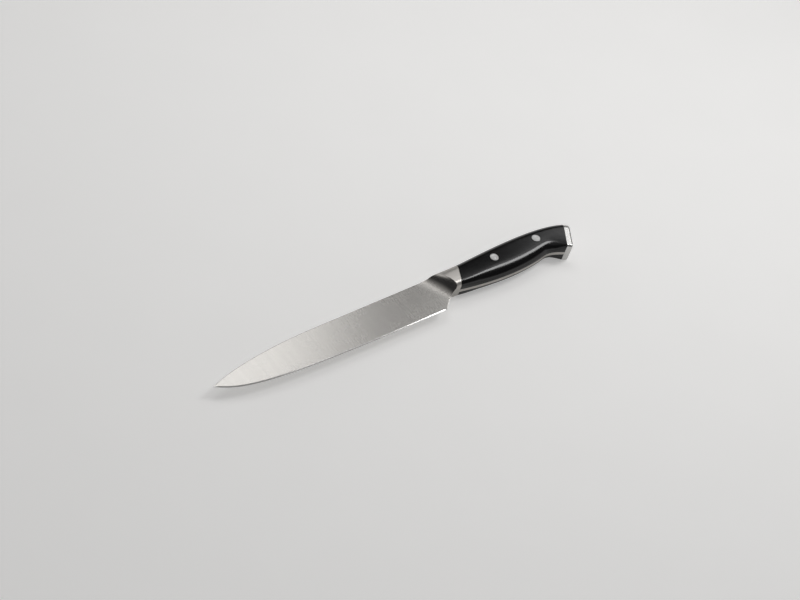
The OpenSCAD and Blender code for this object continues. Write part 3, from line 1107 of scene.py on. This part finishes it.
def make_scales(finish):
    """Both handle scales, with a pocket for each rivet."""
    shaper = scale_shaper()
    values = metres(
        Half_Thickness=HALF_T, Tang_Half=TANG_T / 2, Top_Rounding=TOP_R, Joint_Rounding=BOTTOM_R,
        Palm_Rounding=PALM_R, Palm_Swell=PALM_SWELL, Palm_Depth=PALM_DEPTH_R,
        Cap_Rounding=CAP_BOTTOM_R, Crown_Height=CROWN_H, Crown_Drop=CROWN_DROP,
        Seam_Rounding=SEAM_R,
    )
    for line, curve in (("Top", TOP_CURVE), ("Belly", BELLY_CURVE), ("Hook", HOOK_CURVE)):
        for i, (x, y) in enumerate(curve):
            values[f"{line} {i}"] = tuple(in_frame((x, y, 0)))
    values.update({
        "Belly Share": BELLY_SHARE, "Palm Start": PALM_START, "Palm End": PALM_END,
        "Palm Fade": PALM_FADE, "Material": finish,
    })
    sizes = metres(
        Head_Radius=HEAD_D / 2 + RIVET_GAP, Hole_Radius=TUBE_D / 2 + RIVET_GAP,
        Broken_Edge=POCKET_EDGE, Head_Height=HEAD_T, Length=HALF_T, Proud=POCKET_PROUD,
    )
    cutter = turned_shaper("rivet_pocket", sizes, pocket_profile)
    scales = []
    for name, side in (("left_grip_scale", 1), ("right_grip_scale", -1)):
        scale = shaper.make(name, {**values, "Side": float(side)})
        face_outwards(scale)
        for number in (0, 1):
            turn = 0.0 if side > 0 else math.pi
            place = tuple(rivet_place(number, side))
            tool = cutter.make("tool", {**sizes, "Place": place, "Turn": turn})
            face_outwards(tool)
            combine(scale, tool, "DIFFERENCE")
        scales.append(painted(crisp(scale), finish))
    return scales


def face_outwards(piece):
    """Turns all faces of a closed piece outwards."""
    shell = bmesh.new()
    shell.from_mesh(piece.data)
    bmesh.ops.recalc_face_normals(shell, faces=shell.faces)
    shell.to_mesh(piece.data)
    shell.free()


def make_rivets(finish):
    """The two halves of each rivet, by the CAD node that each stands for."""
    length = HANDLE_T - HEAD_T - RIVET_END_GAP
    head = dict(
        Head_Radius=HEAD_D / 2, Broken_Edge=RIVET_EDGE, Head_Height=HEAD_T, Length=length,
        Ring_Radius=RING_D / 2, Ring_Width=RING_W, Ring_Depth=RING_DEPTH,
    )
    pin_sizes = metres(Shank_Radius=SHANK_D / 2, **head)
    tube_sizes = metres(Tube_Radius=TUBE_D / 2, Bore_Radius=SHANK_D / 2 + RIVET_GAP, **head)
    kinds = (
        ("male", "pin", 1, turned_shaper("rivet_pin", pin_sizes, pin_profile), pin_sizes),
        ("female", "tube", -1, turned_shaper("rivet_tube", tube_sizes, tube_profile), tube_sizes),
    )
    made = {}
    for number, where in enumerate(("front", "rear")):
        for node, name, side, shaper, sizes in kinds:
            values = {**sizes, "Place": tuple(rivet_place(number, side)), "Material": finish}
            values["Turn"] = 0.0 if side > 0 else math.pi
            rivet = shaper.make(f"{where}_rivet_{name}", values)
            face_outwards(rivet)
            made[f"{where}_rivet_{node}"] = painted(crisp(rivet), finish)
    return made


def fit(piece, slot, *nodes):
    """The piece rides on the knife and stands for its CAD nodes."""
    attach(piece, "root")
    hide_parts(*nodes)


# Studio

CAMERA_PLACE = (-0.97099, -0.72007, 1.25976)
CAMERA_TARGET = (0.00329, 0.00733, 0.0085)
CAMERA_UP = (0.32249, 0.68743, 0.65072)
LENS = 108
CLIP_END = 60

FLOOR_HALF = 12000
FLOOR_HALF_T = 5
# The pale floor is lifted for the camera, and by this share of it where the steel mirrors it
FLOOR_LIFT = (0.33, 0.328, 0.325)
MIRRORED_SHARE = 0.4

DARK_SIDE = (0.03, 0.03, 0.031)
WALL = (0.04, 0.0395, 0.039)
OVERHEAD = (0.30, 0.297, 0.294)
HORIZON = (0.76, 0.755, 0.75)
# The studio fades from one part to the next between two values of the direction that is seen.
# By height, where 0 is level and 1 is straight up:
HORIZON_FADE = (0.03, 0.11)
BAND_FADE = (0.3, 0.48)
OVERHEAD_FADE = (0.72, 0.9)
# Along and across the knife, where -1 is beyond the tip or on the cutting edge's side:
WALL_FADE = (-0.5, 0.3)
SPINE_SIDE_FADE = (0.42, 0.72)
SPINE_SIDE_DARK = 0.75
EDGE_SIDE_FADE = (-0.5, -0.3)
# The pale band is left out behind the tip
BEHIND_TIP_ALONG = (-0.5, 0.0)
BEHIND_TIP_ACROSS = (0.3, 0.55)
# It rises in the two corners beyond the tip
CORNER_ALONG = (-0.45, -0.25)
CORNER_ACROSS = (0.5, 0.6)
BAND_RISE = 0.25
# It lies lower on the cutting edge's side, and beyond the butt on the spine's side
BUTT_ALONG = (0.0, 0.2)
BUTT_ACROSS = (0.1, 0.35)
BAND_CUT = 0.13

# Each lamp's place, its width and height in metres, and its brightness
LAMPS = {
    # The highlight along the scales' lower shoulder, the bolster's low corner and the bevel
    "key_lamp": ((0.666, -0.05, 0.715), (0.24, 0.32), 7.8),
    # A weaker glow beside it, on the bevel and the blade near the heel
    "glow_lamp": ((0.655, 0.16, 0.73), (0.20, 0.28), 0.9),
    # The shoulder's last stretch above the hook, and the middle of the bevel
    "hook_lamp": ((0.45, 0.03, 0.75), (0.08, 0.22), 2.2),
    # The sheen on the scales' side towards the cap
    "side_lamp": ((0.66, 0.255, 0.69), (0.11, 0.2), 0.5),
    # The blade, brightest at its point
    "blade_lamp": ((0.108, 0.36, 0.58), (0.48, 0.30), 1.47),
    # The cap's side, and the scales' side next to it
    "cap_lamp": ((0.83, 0.385, 0.681), (0.125, 0.17), 1.75),
}


def make_camera():
    """A long lens at the photograph's place, tipped as the photograph is."""
    lens = bpy.data.cameras.new("camera")
    lens.lens = LENS
    lens.clip_end = CLIP_END
    camera = bpy.data.objects.new("camera", lens)
    bpy.context.scene.collection.objects.link(camera)
    forward = (Vector(CAMERA_TARGET) - Vector(CAMERA_PLACE)).normalized()
    right = forward.cross(Vector(CAMERA_UP)).normalized()
    axes = Matrix((right, right.cross(forward), -forward)).transposed()
    camera.matrix_world = Matrix.Translation(CAMERA_PLACE) @ axes.to_4x4()
    bpy.context.scene.camera = camera


def make_floor():
    """A wide pale floor just under the knife."""
    f = Finish("floor_pale")
    tone = f.blend(f.noise(0.02, roughness=0.5), FLOOR_DARK, FLOOR_LIGHT)
    path = f.add("ShaderNodeLightPath")
    mirrored = f.out(path, "Is Glossy Ray") * MIRRORED_SHARE
    seen = f.out(path, "Is Camera Ray").maths("MAXIMUM", mirrored)
    finish = f.surface({
        "Base Color": tone, "Roughness": FLOOR_ROUGH,
        "Emission Color": f.blend(seen, (0, 0, 0), FLOOR_LIFT), "Emission Strength": 1.0,
    })
    corners = [(-FLOOR_HALF, -FLOOR_HALF), (FLOOR_HALF, -FLOOR_HALF),
               (FLOOR_HALF, FLOOR_HALF), (-FLOOR_HALF, FLOOR_HALF)]
    floor = painted(slab("floor", corners, FLOOR_HALF_T), finish)
    floor.data.transform(Matrix.Translation((0, 0, -(HALF_T + FLOOR_HALF_T) * MM)))


def make_lamp(name, place, size, radiance):
    """A soft box at some place, turned to the knife, with its width and height in metres."""
    light = bpy.data.lights.new(name, "AREA")
    light.shape = "RECTANGLE"
    light.size, light.size_y = size
    light.energy = radiance * math.pi * size[0] * size[1]
    lamp = bpy.data.objects.new(name, light)
    bpy.context.scene.collection.objects.link(lamp)
    lamp.location = place
    lamp.rotation_euler = Vector(place).to_track_quat("Z", "Y").to_euler()


def pale_band(x, y, z):
    """1 in a pale band above the horizon, by the direction that is seen, and 0 outside it.

    It gives the steel something bright to mirror from the sides and the back. It makes room where
    the hollow, the scales' shoulder and the blade's flat mirror the dark walls.
    """
    across = y.maths("ABSOLUTE")
    behind_tip = (1 - x.step(*BEHIND_TIP_ALONG)) * (1 - across.step(*BEHIND_TIP_ACROSS))
    corner = (1 - x.step(*CORNER_ALONG)) * across.step(*CORNER_ACROSS)
    beyond_butt = x.step(*BUTT_ALONG) * y.step(*BUTT_ACROSS)
    lower = (1 - y.step(*EDGE_SIDE_FADE)).maths("MAXIMUM", beyond_butt)
    height = z + lower * (1 - corner) * BAND_CUT - corner * BAND_RISE
    return (1 - height.step(*BAND_FADE)) * (1 - behind_tip)


def make_world():
    """The studio round the knife: pale at the horizon and in a band above it, then a dim wall on
    the +X side, brighter overhead and darker to the spine's side, and dark beyond the tip."""
    world = bpy.data.worlds.new("studio")
    world.use_nodes = True
    t = Tree(world.node_tree)
    world.node_tree.nodes.clear()
    x, y, z = t.split(t.node("ShaderNodeTexCoord", {}, {}, "Generated"))
    wall = t.blend(z.step(*OVERHEAD_FADE), WALL, OVERHEAD)
    wall = t.blend(y.step(*SPINE_SIDE_FADE) * SPINE_SIDE_DARK, wall, DARK_SIDE)
    studio = t.blend(x.step(*WALL_FADE), DARK_SIDE, wall)
    studio = t.blend(pale_band(x, y, z), studio, HORIZON)
    studio = t.blend(z.step(*HORIZON_FADE), HORIZON, studio)
    seen = t.node("ShaderNodeLightPath", {}, {}, "Is Camera Ray")
    backdrop = t.blend(seen, studio, HORIZON)
    glow = t.node("ShaderNodeBackground", {}, {"Color": backdrop, "Strength": 1.0})
    t.add("ShaderNodeOutputWorld", {}, {"Surface": glow})
    bpy.context.scene.world = world


def main():
    """The studio first, then the knife's eight pieces."""
    make_camera()
    make_world()
    make_floor()
    for name, lamp in LAMPS.items():
        make_lamp(name, *lamp)
    fit(make_forging(steel_finish()), "blade_steel", "blade")
    left, right = make_scales(scale_finish())
    fit(left, "scale_black", "left_scale")
    fit(right, "scale_black", "right_scale")
    for node, rivet in make_rivets(rivet_finish()).items():
        fit(rivet, "rivet_steel", node)
    fit(make_cap(cap_finish()), "cap_steel", "end_cap")
    bpy.context.scene.view_settings.view_transform = "Standard"


main()
